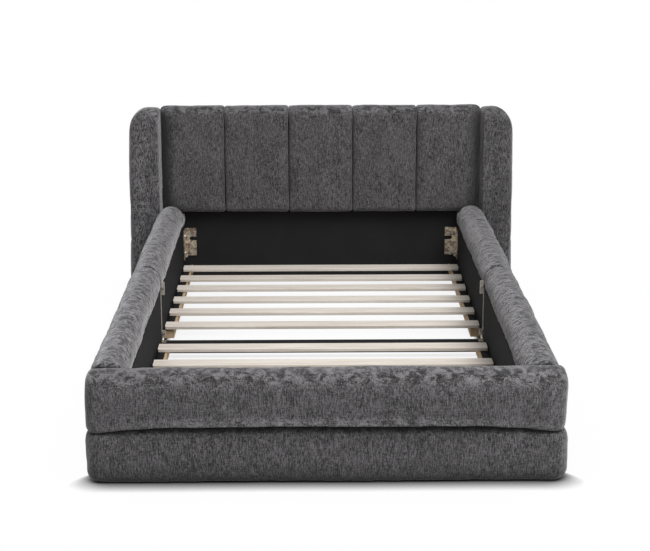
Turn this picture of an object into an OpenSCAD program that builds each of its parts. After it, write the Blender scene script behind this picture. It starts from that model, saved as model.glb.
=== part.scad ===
// A low upholstered single bed: channelled headboard between two wings, padded side rails
// in two halves each, a two-tier footboard, and wooden slats on ledgers near the floor.
// Millimetres, +Z up, head end at +Y, origin at the middle of the footprint on the floor.

/* [Mattress] */
// Width of the mattress that the bed takes
mattress_w = 965; // [900:5:1100]
// Length of the mattress
mattress_l = 1905; // [1850:5:2050]
// Room left on each side of the mattress
side_gap = 12.5; // [12.5:0.5:25]
// Room left at each end of the mattress
end_gap = 12.5; // [12.5:0.5:25]

/* [Headboard] */
// Height of the headboard above the floor
head_h = 640; // [560:5:900]
// Depth of the headboard's wooden frame, panel and battens together
head_frame_t = 40; // [34:1:60]
// Thickness of the plywood panel at the front of that frame
head_panel_t = 12; // [9:1:18]
// Width of the battens behind the panel
head_batten_w = 60; // [40:5:90]
// Number of padded channels
channel_count = 5; // [3:1:9]
// How far the channels stand out in front of the lining
channel_t = 50; // [35:1:56]
// Height of the channels' lower edge above the floor
channel_z = 258; // [240:1:275]
// Foam over the top of the headboard's frame
channel_top_foam = 35; // [25:1:60]

/* [Wings] */
// Width of a wing at its top, seen from the front
wing_w = 112; // [90:1:150]
// How much wider a wing is at the floor
wing_flare = 12; // [0:1:25]
// How far the wings stand out in front of the lining
wing_forward = 62; // [58:1:90]
// Foam round the wing's wooden core
wing_foam = 24; // [18:1:30]
// How far a wing reaches in over the end of the side rail
wing_overlap = 18; // [4:1:30]

/* [Side rails] */
// Height of the side rails' roll above the floor
rail_h = 288; // [278:1:340]
// Thickness of a side rail, from its lining to its outer face
rail_t = 95; // [80:1:120]
// Depth of the wooden frame inside a rail or the footboard
frame_t = 45; // [36:1:55]
// Thickness of the board on the inner face of that frame
web_t = 15; // [12:1:20]
// Height of the battens along the top and the foot of that frame
frame_batten_h = 32; // [24:1:50]
// Thickness of the stretched black lining
lining_t = 1.5; // [1:0.5:3]
// Height of the lining's top edge, where the roll begins
lining_h = 215; // [200:1:230]
// Height of the pleat between the two padded tiers, at the middle of the footboard
pleat_h = 150; // [120:1:170]
// How much lower that pleat is at the footboard's corners and along the rails
pleat_sag = 18; // [0:1:30]
// How far the lower tier lies behind the upper one at the footboard's front
lower_set = 2; // [1:1:12]
// How far the lower tier stands out past the upper one at the sides
side_out = 4; // [0:0.5:4]

/* [Footboard] */
// Height of the footboard's roll above the floor
foot_h = 281; // [270:1:330]
// Thickness of the footboard, from its lining to its front
foot_t = 105; // [90:1:130]

/* [Slats] */
// Width of a slat
slat_w = 58; // [40:1:80]
// Thickness of a slat
slat_t = 10; // [8:1:18]
// Height of the slats' top face, where the mattress lies
slat_top = 75; // [70:1:82]
// Gap between a slat's end and the lining
slat_play = 2.5; // [1:0.5:8]
// Width of the ledger under the slat ends
ledger_w = 30; // [22:1:45]
// Height of that ledger
ledger_h = 28; // [20:1:34]
// Distance from the ledger to the headboard or the footboard
ledger_end_gap = 30; // [10:1:80]
// Distance from the ledger to the joint between the rail halves
ledger_joint_gap = 84; // [40:1:120]
// Width of the hook-and-loop tape on the ledger
tape_w = 25; // [15:1:30]
// Thickness of the tape
tape_t = 2; // [1:0.5:3]

/* [Crossbar] */
// Width of the bar that ties the rails together at the joint
bar_w = 40; // [30:1:60]
// Height of the bar's section
bar_h = 30; // [20:1:36]
// Height of the bar's top face above the floor
bar_top = 47; // [44:1:56]
// Length of the small angle on the bar's end
bar_angle_l = 14; // [10:1:30]
// Height of that angle on the lining
bar_angle_h = 15; // [12:1:20]

/* [Corner brackets] */
// Height of a corner bracket
bracket_h = 109; // [80:1:116]
// Height of its lower end above the floor
bracket_z = 85; // [82:1:95]
// Width of its flange on the head or foot panel
bracket_w = 42; // [34:1:60]
// Length of its flange along the rail
bracket_d = 60; // [40:1:80]
// Thickness of the steel
plate_t = 3; // [2:0.5:4]
// Radius of the screws' shanks
screw_r = 2.5; // [2:0.5:3]
// Length of a screw's shank
screw_l = 22; // [16:1:28]
// Radius of a screw's head
screw_head_r = 5; // [4:0.5:6]
// Height of a screw's head
screw_head_h = 2.6; // [2:0.2:4]

/* [Rail joint] */
// Width of a joint plate inside the rail
joint_plate_w = 28; // [20:1:38]
// How far a joint plate's ear stands in from the lining
ear_out = 12; // [10:0.5:12.5]
// Height of the upper ear
ear_h = 40; // [24:1:50]
// Height of the lower ear
low_ear_h = 18; // [14:1:24]
// Radius of the joint bolts
joint_bolt_r = 3; // [2:0.5:3.5]

/* [Floor] */
// Height of the plastic glides under the frames
glide_h = 8; // [5:1:15]
// Radius of a glide
glide_r = 10; // [6:1:14]
// Gap between the padding's lower edge and the floor
pad_gap = 1; // [1:0.5:5]

/* [Hidden] */
RAILS = ["head_left", "head_right", "foot_left", "foot_right"];

// Gap between a pad and what it lies against
seat = 0.3;
// Overrun of a cut past the face that it opens
over = 5;
// Room round a screw or bolt in its hole
hole_room = 0.1;
right_angle = 90;

// Inner faces of the lining: half the width between the rails, and the two ends
in_x = mattress_w/2 + side_gap;
well_l = mattress_l + 2*end_gap;
head_back_t = lining_t + head_frame_t + lining_t;
bed_l = foot_t + well_l + head_back_t;
back_y = bed_l/2;
head_y = back_y - head_back_t;
foot_y = head_y - well_l;
front_y = -bed_l/2;
mid_y = (head_y + foot_y)/2;
half_l = well_l/2;
// Frame faces inside a rail
web_x = in_x + lining_t;
frame_x = web_x + frame_t;
out_x = in_x + rail_t;
// The roll stands a little proud of the lining
lip_out = 1;
// Wings
wing_in = out_x - wing_overlap;
wing_top_x = wing_in + wing_w;
panel_x = wing_in - seat;
head_frame_y = head_y + lining_t;
head_frame_top = head_h - channel_top_foam;
batten_mid_y = head_frame_y + (head_frame_t + head_panel_t)/2;
wing_core_in = wing_in + wing_foam;
wing_core_out = wing_top_x - wing_foam;
wing_core_front = head_y - wing_forward + wing_foam;
wing_core_top = head_h - 2*wing_foam;
wing_core_t = 18;
bolt_r = 4;
bolt_head_r = 8;
bolt_head_h = 5;
bolt_height_shares = [0.18, 0.5, 0.82];
// Slats
slat_z = slat_top - slat_t;
tape_z = slat_z - tape_t;
ledger_z = tape_z - ledger_h;
slat_corner = 4;
slat_edge = 1.5;
// Place of each slat's middle, as a share of a rail half's length: from the headboard in the
// head half, and from the joint in the foot half
head_slat_shares = [0.119, 0.2715, 0.4145, 0.572, 0.7275, 0.891];
foot_slat_shares = [0.146, 0.313, 0.46, 0.605, 0.745, 0.885];
ledger_y0 = mid_y + ledger_joint_gap;
ledger_y1 = head_y - ledger_end_gap;
foot_frame_y = foot_y - lining_t - frame_t;
// Roundings of the pads. Each is how far a side is drawn in, and the value that ends in h is
// the height over which that happens. Rolls of the rails: their crest lies nearer the inside
roll_flat = 4;
roll_inner_share = 0.445;
roll_drop = 50;
roll_end = 7;
roll_end_h = 14;
roll_crown = 1.5;
roll_corner = 6;
// Where the upper tier is tucked in at the pleat, and the lower one comes out from under it
tuck = 3;
tuck_h = 6;
front_tuck = 6;
skirt_top = 4;
skirt_top_h = 14;
front_skirt_top = 9;
skirt_crown = 1.5;
hem = 12;
hem_h = 22;
front_hem = 4;
front_hem_h = 12;
// Footboard: its roll, the ends of that roll and its upright corners
foot_roll_r = (foot_t + lip_out - roll_flat)/2;
foot_end = 20;
foot_end_h = 24;
foot_corner = 28;
// The footboard's pleat curves down to both corners, where it meets the rails' pleats. The
// outermost stops lie short of the rounded corners, so that both tiers bend at the same places
pleat_half = out_x - foot_corner - hem - 2*skirt_crown;
pleat_power = 5;
pleat_reach = lining_h - pleat_h;
pleat_stop_shares = [-1, -0.88, -0.65, 0, 0.65, 0.88, 1];
pleat_stops = [for (s = pleat_stop_shares) s*pleat_half];
side_pleat_h = pleat_h - pleat_sag;
// How the rails' rolls lap onto the back of the footboard's roll
foot_lap = 36;
foot_lap_h = 26;
foot_reach = foot_roll_r - lip_out - 2*roll_flat;
// Channels: their tops and feet, the seams between them and the two outer ends
channel_top_r = 34;
channel_foot_r = 18;
channel_seam = 3;
channel_seam_h = 6;
channel_end = 30;
channel_end_h = 12;
channel_pitch = 2*panel_x/channel_count;
// Exponents of the superellipse outlines: the higher, the squarer
channel_squareness = 12;
wing_squareness = 5;
// Arched top of a wing, and how far it lies below the channels' tops
wing_drop = 5;
wing_top_in = 39;
wing_top_in_h = 8;
wing_top_out = 69;
wing_top_out_h = 80;
wing_top_y = 38;
wing_top_y_h = 56;
wing_hem = 20;
// Facets: round steps at the pads' edges and corners
steps_low = 3;
steps_high = 6;
steps_mid = 2;
steps_corner = 3;
oval_points = 22;
// Largest share of a pad's width that its corners may take
corner_share = 0.9;
// Corner brackets
fold_w = 9;
lobe_r = 13;
lobe_drop = 7;
notch_w = 25;
notch_h = 14;
notch_z = 63;
bracket_corner = 2.5;
panel_screw_x = [17, 21];
panel_screw_z = [88, 19];
rail_screw_y = 34;
rail_screw_z = [24, 86];
ledger_screw_shares = [0.1, 0.5, 0.9];
ledger_sink = 20;
bar_angle_w = 24;
// Joint plates
joint_plate_edge = 1.2;
ear_rise = 1.5;
joint_plate_z = bar_top + plate_t + bar_angle_h + ear_rise;
joint_plate_top = lining_h - seat;
ear_z = 198;
ear_hole_z = 219;
low_ear_hole_z = joint_plate_z + low_ear_h/2;
ear_in = in_x - ear_out;
ear_back = in_x - lip_out - seat;
ear_mid = (ear_in + ear_back)/2;
joint_head_r = 4.5;
joint_head_h = 4;
// Glides stand at these shares of a frame's length
rail_glide_shares = [0.1, 0.9];
panel_glide_shares = [-0.9, 0, 0.9];

fabric_colour = [0.36, 0.35, 0.36];
lining_colour = [0.08, 0.08, 0.085];
pine_colour = [0.86, 0.76, 0.58];
ply_colour = [0.72, 0.58, 0.4];
zinc_colour = [0.74, 0.69, 0.55];
steel_colour = [0.66, 0.67, 0.68];
plastic_colour = [0.12, 0.12, 0.12];

$fn = 40;

// Points round the corner q of a rectangle [x0, x1, y0, y1] at height z, in n steps. r holds
// the radii of the back and the front corners
function corner_points(z, b, r, n, q) =
    let (
        c = min((q < 2) ? r[0] : r[1], corner_share*min(b[1] - b[0], b[3] - b[2])/2),
        cx = (q == 0 || q == 3) ? b[1] - c : b[0] + c,
        cy = (q < 2) ? b[3] - c : b[2] + c
    )
    [for (k = [0:n]) let (a = right_angle*(q + k/n)) [cx + c*cos(a), cy + c*sin(a), z]];

// Points round that whole rectangle, with more of them at the given x along its back and front
function box_ring(z, b, r, n, stops) = concat(
    corner_points(z, b, r, n, 0),
    [for (i = [1:len(stops)]) [stops[len(stops) - i], b[3], z]],
    corner_points(z, b, r, n, 1),
    corner_points(z, b, r, n, 2),
    [for (x = stops) [x, b[2], z]],
    corner_points(z, b, r, n, 3)
);

// Points round a superellipse of exponent e that fills the same rectangle
function oval_ring(z, b, e, n) = [
    for (k = [0:n - 1])
        let (
            a = 4*right_angle*k/n,
            u = sign(cos(a))*pow(abs(cos(a)), 2/e),
            v = sign(sin(a))*pow(abs(sin(a)), 2/e)
        )
        [(b[0] + b[1] + (b[1] - b[0])*u)/2, (b[2] + b[3] + (b[3] - b[2])*v)/2, z]
];

// How far a side is drawn in at the distance d from its edge, by a rounding e = [depth, height]
function drawn_in(e, d) = (e[1] > d) ? e[0]*(1 - sqrt(max(0, 1 - pow(1 - d/e[1], 2)))) : 0;

// Heights of a pad and how far each side is drawn in there: [z, left, right, front, back].
// low and high hold the roundings of the four sides' lower and upper edges, and crown is how
// far the sides belly out.
function pad_levels(z0, z1, low, high, crown) =
    let (
        low_h = max([for (e = low) e[1]]),
        high_h = max([for (e = high) e[1]]),
        middle_h = z1 - high_h - z0 - low_h,
        heights = concat(
            [for (k = [0:steps_low]) z0 + low_h*(1 - cos(right_angle*k/steps_low))],
            [for (k = [1:steps_mid]) z0 + low_h + middle_h*k/(steps_mid + 1)],
            [for (k = [0:steps_high]) z1 - high_h*(1 - sin(right_angle*k/steps_high))]
        )
    )
    [for (z = heights)
        let (belly = crown*pow(abs(2*(z - z0)/(z1 - z0) - 1), 2))
        concat([z], [for (i = [0:3]) belly + drawn_in(low[i], z - z0) + drawn_in(high[i], z1 - z)])];

// How far the footboard's padding hangs lower at the place x and the height z, next to the pleat
function pleat_drop(x, z) =
    pleat_sag*pow(min(1, abs(x)/pleat_half), pleat_power)*max(0, 1 - abs(z - pleat_h)/pleat_reach);

// Closed solid through rings of points that lie one above another, and whose back and front
// points face each other in pairs
module loft(rings) {
    n = len(rings[0]);
    top = (len(rings) - 1)*n;
    sides = [
        for (i = [0:len(rings) - 2], j = [0:n - 1])
            let (a = i*n + j, b = i*n + (j + 1)%n)
            each [[a, a + n, b + n], [a, b + n, b]]
    ];
    caps = [
        for (j = [0:n/2 - 2])
            let (k = n - 2 - j)
            each [
                [j, j + 1, k], [j, k, k + 1],
                [top + j, top + k, top + j + 1], [top + j, top + k + 1, top + k]
            ]
    ];
    polyhedron([for (r = rings) each r], concat(sides, caps));
}

// Padded form in the box lo to hi; lean is how far its right side moves out at the foot, and
// stops are the places along x at which it may hang lower at the pleat
module pad(lo, hi, low, high, corner, crown, expo = 0, lean = 0, stops = []) {
    rings = [
        for (v = pad_levels(lo[2], hi[2], low, high, crown))
            let (
                side = lean*(hi[2] - v[0])/(hi[2] - lo[2]),
                b = [lo[0] + v[1], hi[0] + side - v[2], lo[1] + v[3], hi[1] - v[4]],
                ring = expo > 0
                    ? oval_ring(v[0], b, expo, oval_points)
                    : box_ring(v[0], b, corner, steps_corner, stops)
            )
            [for (p = ring) len(stops) > 0 ? p - [0, 0, pleat_drop(p[0], v[0])] : p]
    ];
    loft(rings);
}

// Box between two corners
module block(lo, hi) {
    translate(lo) cube(hi - lo);
}

// Flat rounded rectangle with one corner at the origin
module rounded(w, h, r) {
    translate([r, 0]) square([w - 2*r, h]);
    translate([0, r]) square([w, h - 2*r]);
    for (x = [r, w - r], y = [r, h - r]) {
        translate([x, y]) circle(r);
    }
}

module at_left() {
    mirror([1, 0, 0]) children();
}

// The foot half of the bed mirrors the head half about the rail joint
module at_foot() {
    translate([0, 2*mid_y, 0]) mirror([0, 1, 0]) children();
}

module at_rail(i) {
    if (i == 0) at_left() children();
    if (i == 1) children();
    if (i == 2) at_foot() at_left() children();
    if (i == 3) at_foot() children();
}

// Screw along -Z from its seat at the origin; grow is the room that its hole adds
module screw(grow = 0) {
    translate([0, 0, -screw_l - grow]) cylinder(r = screw_r + grow, h = screw_l + grow);
    if (grow == 0) {
        cylinder(r1 = screw_head_r, r2 = screw_head_r*corner_share, h = screw_head_h);
    }
}

// Screws of one corner bracket into the head or foot panel
module panel_screws(grow = 0) {
    for (i = [0:len(panel_screw_x) - 1]) {
        translate([in_x - panel_screw_x[i], head_y - plate_t, bracket_z + panel_screw_z[i]])
            rotate([right_angle, 0, 0]) screw(grow);
    }
}

// Screws of that bracket into the rail
module rail_screws(grow = 0) {
    for (z = rail_screw_z) {
        translate([in_x - plate_t, head_y - rail_screw_y, bracket_z + z])
            rotate([0, -right_angle, 0]) screw(grow);
    }
}

// Places of a ledger's screws
module at_ledger_screws() {
    for (s = ledger_screw_shares) {
        y = ledger_y0 + s*(ledger_y1 - ledger_y0);
        translate([in_x - ledger_w, y, ledger_z + ledger_h/2]) rotate([0, -right_angle, 0]) children();
    }
}

// Screws that hold the ledger to the rail's inner board, their heads sunk in the ledger
module ledger_screws(grow = 0) {
    at_ledger_screws() translate([0, 0, -ledger_sink]) screw(grow);
}

// Screw of the small angle that carries the crossbar's end, one into each rail half
module angle_screw(grow = 0) {
    translate([in_x - plate_t, mid_y + bar_angle_w/3, bar_top + plate_t + bar_angle_h/2])
        rotate([0, -right_angle, 0]) screw(grow);
}

module headboard_panel() {
    color(ply_colour) difference() {
        block([-panel_x, head_frame_y, glide_h], [panel_x, head_frame_y + head_panel_t, head_frame_top]);
        panel_screws(hole_room);
        at_left() panel_screws(hole_room);
    }
}

// Perimeter battens with two more uprights behind the panel
module headboard_battens() {
    y0 = head_frame_y + head_panel_t;
    y1 = head_frame_y + head_frame_t;
    pitch = (2*panel_x - head_batten_w)/3;
    color(pine_colour) difference() {
        union() {
            for (i = [0:3]) {
                x = i*pitch - panel_x;
                block([x, y0, glide_h], [x + head_batten_w, y1, head_frame_top]);
            }
            for (z = [glide_h, head_frame_top - head_batten_w]) {
                block([-panel_x, y0, z], [panel_x, y1, z + head_batten_w]);
            }
        }
        wing_bolt_holes();
        panel_screws(hole_room);
        at_left() panel_screws(hole_room);
    }
}

// Black cover over the back of the headboard's frame and of each wing's core
module headboard_back_cover() {
    y0 = back_y - lining_t;
    color(lining_colour) {
        block([-panel_x, y0, glide_h], [panel_x, back_y, head_frame_top]);
        block([wing_core_in, y0, glide_h], [wing_core_out, back_y, wing_core_top]);
        at_left() block([wing_core_in, y0, glide_h], [wing_core_out, back_y, wing_core_top]);
    }
}

module headboard_lining() {
    color(lining_colour) difference() {
        block([-panel_x, head_y, glide_h], [panel_x, head_frame_y, channel_z - seat]);
        panel_screws(hole_room);
        at_left() panel_screws(hole_room);
    }
}

// One padded channel, open at the back where it wraps over the frame's top
module headboard_channel(i) {
    x0 = (i - 1)*channel_pitch - panel_x;
    seam = [channel_seam, channel_seam_h];
    left = (i == 1) ? [channel_end, channel_end_h] : seam;
    right = (i == channel_count) ? [channel_end, channel_end_h] : seam;
    top_edge = [channel_top_r, channel_top_r];
    foot_edge = [channel_foot_r, channel_foot_r];
    color(fabric_colour) difference() {
        pad(
            [x0 + seat/2, head_y - channel_t, channel_z],
            [x0 + channel_pitch - seat/2, back_y, head_h],
            [seam, seam, foot_edge, foot_edge],
            [left, right, top_edge, top_edge],
            0, 0, channel_squareness
        );
        block([x0 - over, head_frame_y - seat, channel_z - over],
            [x0 + channel_pitch + over, back_y + over, head_frame_top + seat]);
    }
}

// Three bolts run from the wing core through its padding into the headboard's side batten
module wing_bolt(grow) {
    x0 = wing_in - head_batten_w*corner_share;
    x1 = wing_core_in + wing_core_t;
    for (s = bolt_height_shares) {
        translate([0, batten_mid_y, s*head_h]) rotate([0, right_angle, 0]) {
            translate([0, 0, x0 - grow]) cylinder(r = bolt_r + grow, h = x1 - x0 + 2*grow);
            translate([0, 0, x1]) cylinder(r = bolt_head_r + grow, h = bolt_head_h + grow);
        }
    }
}

module wing_bolt_holes() {
    wing_bolt(hole_room);
    at_left() wing_bolt(hole_room);
}

module wing_bolts() {
    color(steel_colour) {
        wing_bolt(0);
        at_left() wing_bolt(0);
    }
}

// Upright box of boards inside the wing: an inner and an outer cheek, a front board, a cap and a foot
module wing_core() {
    y1 = back_y - lining_t;
    color(ply_colour) difference() {
        block([wing_core_in, wing_core_front, glide_h], [wing_core_out, y1, wing_core_top]);
        block(
            [wing_core_in + wing_core_t, wing_core_front + wing_core_t, glide_h + wing_core_t],
            [wing_core_out - wing_core_t, y1 + over, wing_core_top - wing_core_t]
        );
        wing_bolt(hole_room);
    }
}

// Wing's padding, arched at the top with its crest nearer the channels
module wing_pad() {
    hem_edge = [wing_hem, wing_hem];
    top_edge = [wing_top_y, wing_top_y_h];
    color(fabric_colour) difference() {
        pad(
            [wing_in, head_y - wing_forward, pad_gap],
            [wing_top_x, back_y, head_h - wing_drop],
            [hem_edge, hem_edge, hem_edge, hem_edge],
            [[wing_top_in, wing_top_in_h], [wing_top_out, wing_top_out_h], top_edge, top_edge],
            0, 0, wing_squareness, wing_flare
        );
        block([wing_core_in - seat, wing_core_front - seat, -over],
            [wing_core_out + seat, back_y + over, wing_core_top + seat]);
        wing_bolt(hole_room);
    }
}

// Wooden frame of a rail half: inner board, top and foot battens, and a block at each end
module rail_frame() {
    y0 = mid_y + plate_t;
    color(ply_colour) difference() {
        union() {
            block([web_x, y0, glide_h], [web_x + web_t, head_y, lining_h]);
            for (z = [glide_h, lining_h - frame_batten_h]) {
                block([web_x, y0, z], [frame_x, head_y, z + frame_batten_h]);
            }
            for (y = [y0, head_y - frame_batten_h]) {
                block([web_x, y, glide_h], [frame_x, y + frame_batten_h, lining_h]);
            }
        }
        rail_screws(hole_room);
        ledger_screws(hole_room);
        angle_screw(hole_room);
    }
}

module rail_lining() {
    color(lining_colour) difference() {
        block([in_x, mid_y + plate_t, glide_h], [web_x, head_y, lining_h]);
        rail_screws(hole_room);
        ledger_screws(hole_room);
        angle_screw(hole_room);
    }
}

// Space of the frame and of the open inner side below the roll
module frame_room() {
    block([in_x - lip_out - over, foot_y - over, -over], [frame_x + seat, head_y + over, lining_h + seat]);
}

// Levels of the footboard's roll, which the ends of the rails' rolls follow too
function foot_roll_levels() = pad_levels(
    pleat_h, foot_h, foot_roll_low(), foot_roll_high(), roll_crown
);
function foot_roll_low() = [[tuck, tuck_h], [tuck, tuck_h], [front_tuck, tuck_h], [0, 0]];
function foot_roll_high() = [
    [foot_end, foot_end_h], [foot_end, foot_end_h], [foot_roll_r, roll_drop], [foot_roll_r, roll_drop]
];

// Space at the far end of a rail half, where its padding stops: that of the channels and the
// wing in the head half, that of the footboard's padding, with its rounded top, in the foot half
module end_room(foot) {
    x0 = in_x - lip_out - over;
    end = [out_x + over, head_y + over, rail_h + over];
    if (foot) {
        y0 = head_y - lip_out - seat;
        far_y = head_y + foot_t;
        translate([x0, 0, 0]) rotate([right_angle, 0, right_angle]) linear_extrude(end[0] - x0)
            polygon(concat(
                [[far_y, -over], [y0, -over]],
                [for (v = foot_roll_levels()) if (v[0] > lining_h) [y0 + v[4], v[0] + seat]],
                [[far_y, foot_h + seat]]
            ));
    } else {
        block([x0, head_y - channel_t - seat, channel_z - seat], end);
        block([wing_in - seat, head_y - wing_forward - seat, -over], end);
    }
}

// Upper padded tier of a rail half: the roll over the frame's top. In the foot half it laps
// onto the footboard's roll
module rail_roll(foot) {
    w = rail_t + lip_out - roll_flat;
    color(fabric_colour) difference() {
        pad(
            [in_x - lip_out, mid_y + seat/2, side_pleat_h],
            [out_x, head_y + (foot ? foot_reach : -seat), rail_h],
            [[0, 0], [tuck, tuck_h], [0, 0], [0, 0]],
            [
                [roll_inner_share*w, roll_drop], [(1 - roll_inner_share)*w, roll_drop],
                [roll_end, roll_end_h], foot ? [foot_lap, foot_lap_h] : [0, 0]
            ],
            [roll_corner, roll_corner], roll_crown
        );
        frame_room();
        end_room(foot);
    }
}

// Lower padded tier on the outer face of a rail half
module rail_skirt(foot) {
    color(fabric_colour) difference() {
        pad(
            [in_x, mid_y + seat/2, pad_gap],
            [out_x + side_out, head_y - seat, side_pleat_h - seat],
            [[0, 0], [hem, hem_h], [0, 0], [0, 0]],
            [[0, 0], [skirt_top, skirt_top_h], [0, 0], [0, 0]],
            [roll_corner, roll_corner], skirt_crown
        );
        frame_room();
        end_room(foot);
    }
}

module ledger() {
    color(pine_colour) difference() {
        block([in_x - ledger_w, ledger_y0, ledger_z], [in_x, ledger_y1, ledger_z + ledger_h]);
        ledger_screws(hole_room);
        at_ledger_screws() translate([0, 0, -ledger_sink])
            cylinder(r = screw_head_r + hole_room, h = over + ledger_sink);
    }
}

module ledger_tapes() {
    color(lining_colour) for (i = [0:3]) {
        at_rail(i) block([in_x - tape_w, ledger_y0, tape_z], [in_x, ledger_y1, slat_z]);
    }
}

// Footboard frame: board on the inner face, battens towards the front, as in the rails
module footboard_frame() {
    y1 = foot_y - lining_t;
    color(ply_colour) difference() {
        union() {
            block([-frame_x, y1 - web_t, glide_h], [frame_x, y1, lining_h]);
            for (z = [glide_h, lining_h - frame_batten_h]) {
                block([-frame_x, foot_frame_y, z], [frame_x, y1, z + frame_batten_h]);
            }
            for (x = [-frame_x, -frame_batten_h/2, frame_x - frame_batten_h]) {
                block([x, foot_frame_y, glide_h], [x + frame_batten_h, y1, lining_h]);
            }
        }
        at_foot() {
            panel_screws(hole_room);
            at_left() panel_screws(hole_room);
        }
    }
}

module footboard_lining() {
    color(lining_colour) difference() {
        block([-frame_x, foot_y - lining_t, glide_h], [frame_x, foot_y, lining_h]);
        at_foot() {
            panel_screws(hole_room);
            at_left() panel_screws(hole_room);
        }
    }
}

// Space of the footboard's frame and of the open inner side below its roll
module foot_frame_room() {
    block([-frame_x - seat, foot_frame_y - seat, -over], [frame_x + seat, foot_y + over, lining_h + seat]);
}

module footboard_roll() {
    color(fabric_colour) difference() {
        pad(
            [-out_x, front_y, pleat_h],
            [out_x, foot_y + lip_out, foot_h],
            foot_roll_low(), foot_roll_high(), [roll_corner, foot_corner], roll_crown,
            stops = pleat_stops
        );
        foot_frame_room();
    }
}

module footboard_skirt() {
    color(fabric_colour) difference() {
        pad(
            [-out_x - side_out, front_y + lower_set, pad_gap],
            [out_x + side_out, foot_y, pleat_h - seat],
            [[hem, hem_h], [hem, hem_h], [front_hem, front_hem_h], [0, 0]],
            [[skirt_top, skirt_top_h], [skirt_top, skirt_top_h], [front_skirt_top, skirt_top_h], [0, 0]],
            [roll_corner, foot_corner], skirt_crown, stops = pleat_stops
        );
        foot_frame_room();
    }
}

// Planed slat with eased edges and corners
module slat(y) {
    l = 2*(in_x - slat_play);
    color(pine_colour) translate([-l/2, y - slat_w/2, slat_z]) intersection() {
        linear_extrude(slat_t) rounded(l, slat_w, slat_corner);
        rotate([right_angle, 0, right_angle]) linear_extrude(l) rounded(slat_w, slat_t, slat_edge);
    }
}

module slat_head(i) {
    slat(head_y - head_slat_shares[i - 1]*half_l);
}

module slat_foot(i) {
    slat(mid_y - foot_slat_shares[i - 1]*half_l);
}

module crossbar() {
    color(lining_colour)
        block([-in_x + seat, mid_y - bar_w/2, bar_top - bar_h], [in_x - seat, mid_y + bar_w/2, bar_top]);
}

module crossbar_angle() {
    y0 = mid_y - bar_angle_w/2;
    y1 = mid_y + bar_angle_w/2;
    difference() {
        union() {
            block([in_x - bar_angle_l, y0, bar_top], [in_x, y1, bar_top + plate_t]);
            block([in_x - plate_t, y0, bar_top], [in_x, y1, bar_top + plate_t + bar_angle_h]);
        }
        angle_screw(hole_room);
        at_foot() angle_screw(hole_room);
    }
}

module crossbar_angles() {
    color(zinc_colour) {
        crossbar_angle();
        at_left() crossbar_angle();
    }
}

// Folded corner bracket: a notched flange with a lobe on the panel, a plain flange on the rail
module corner_bracket() {
    difference() {
        union() {
            translate([in_x, head_y, bracket_z]) rotate([right_angle, 0, 0]) mirror([1, 0, 0])
                linear_extrude(plate_t) difference() {
                    union() {
                        square([fold_w, bracket_h]);
                        translate([0, lobe_drop]) rounded(bracket_w, bracket_h - lobe_drop, bracket_corner);
                        translate([panel_screw_x[1], panel_screw_z[1]]) circle(lobe_r);
                    }
                    translate([bracket_w - notch_w + notch_h/2, notch_z]) square([notch_w, notch_h]);
                    translate([bracket_w - notch_w + notch_h/2, notch_z + notch_h/2]) circle(notch_h/2);
                }
            translate([in_x, head_y, bracket_z]) rotate([right_angle, 0, -right_angle])
                linear_extrude(plate_t) rounded(bracket_d, bracket_h, bracket_corner);
        }
        panel_screws(hole_room);
        rail_screws(hole_room);
    }
}

module corner_brackets() {
    color(zinc_colour) {
        corner_bracket();
        at_left() corner_bracket();
    }
}

// Steel plate on the end of a rail half, with two ears that stand in from the lining
module joint_plate() {
    y0 = mid_y + hole_room/2;
    y1 = mid_y + plate_t;
    difference() {
        union() {
            block([in_x - joint_plate_edge, y0, joint_plate_z],
                [in_x + joint_plate_w, y1, joint_plate_top]);
            block([ear_in, y0, ear_z], [in_x, y1, joint_plate_top]);
            block([ear_in, y0, ear_z], [ear_back, y1, ear_z + ear_h]);
            block([ear_in, y0, joint_plate_z], [in_x, y1, joint_plate_z + low_ear_h]);
        }
        joint_bolt(hole_room);
    }
}

module joint_bolt(grow) {
    for (z = [ear_hole_z, low_ear_hole_z]) {
        translate([ear_mid, mid_y, z]) rotate([right_angle, 0, 0]) {
            translate([0, 0, -plate_t - grow]) cylinder(r = joint_bolt_r + grow, h = 2*(plate_t + grow));
            if (grow == 0) {
                translate([0, 0, plate_t]) cylinder(r = joint_head_r, h = joint_head_h, $fn = 6);
                translate([0, 0, -plate_t - joint_head_h]) cylinder(r = joint_head_r, h = joint_head_h);
            }
        }
    }
}

module joint_plates() {
    color(zinc_colour) for (i = [0:3]) {
        at_rail(i) joint_plate();
    }
}

module joint_bolts() {
    color(steel_colour) {
        joint_bolt(0);
        at_left() joint_bolt(0);
    }
}

module wood_screws() {
    color(steel_colour) {
        for (i = [0:3]) {
            at_rail(i) {
                panel_screws();
                rail_screws();
                ledger_screws();
                angle_screw();
            }
        }
    }
}

module glide() {
    cylinder(r = glide_r, h = glide_h);
}

module floor_glides() {
    color(plastic_colour) {
        for (i = [0:3], s = rail_glide_shares) {
            at_rail(i) translate([(web_x + frame_x)/2, mid_y + s*half_l, 0]) glide();
        }
        for (s = panel_glide_shares) {
            translate([s*in_x, foot_y - lining_t - frame_t/2, 0]) glide();
            translate([s*in_x, batten_mid_y, 0]) glide();
        }
        for (side = [-1, 1]) {
            translate([side*(wing_core_in + wing_core_out)/2, (wing_core_front + back_y)/2, 0]) glide();
        }
    }
}

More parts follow.
